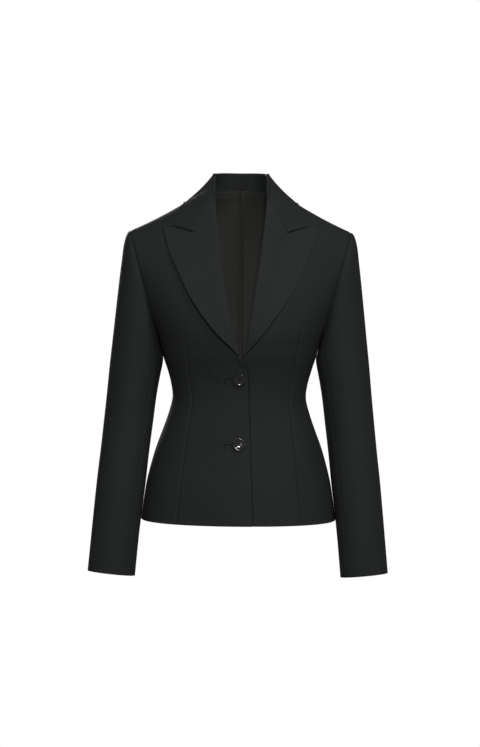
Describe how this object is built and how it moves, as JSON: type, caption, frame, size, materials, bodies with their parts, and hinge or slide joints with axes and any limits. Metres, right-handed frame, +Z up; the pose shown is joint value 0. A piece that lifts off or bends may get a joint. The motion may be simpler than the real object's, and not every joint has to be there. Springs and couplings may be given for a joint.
{
  "type": "single breasted blazer",
  "caption": "Fitted blazer with peak lapels, a turned-down collar, set-in sleeves and long darts, filled out as worn and hollow inside.",
  "frame": {"origin": "between the shoulders at the height of the neck, where the wearer carries the jacket", "axes": "+Z up, -Y the way the wearer faces, -X the wearer's right"},
  "size_m": [0.5296, 0.261, 0.7114],
  "materials": {
    "wool": "fine black wool suiting, matt with a faint sheen",
    "lining": "smooth brown-black lining",
    "button": "polished black horn-like plastic"
  },
  "bodies": {
    "root": {"front_right": "wool", "front_left": "wool", "back_right": "wool", "back_left": "wool", "top_sleeve_right": "wool", "top_sleeve_left": "wool", "under_sleeve_right": "wool", "under_sleeve_left": "wool", "lapel_right": "wool", "lapel_left": "wool", "collar_fall": "wool", "collar_stand": "wool", "back_lining": "lining", "button_upper": "button", "button_lower": "button"}
  },
  "joints": []
}
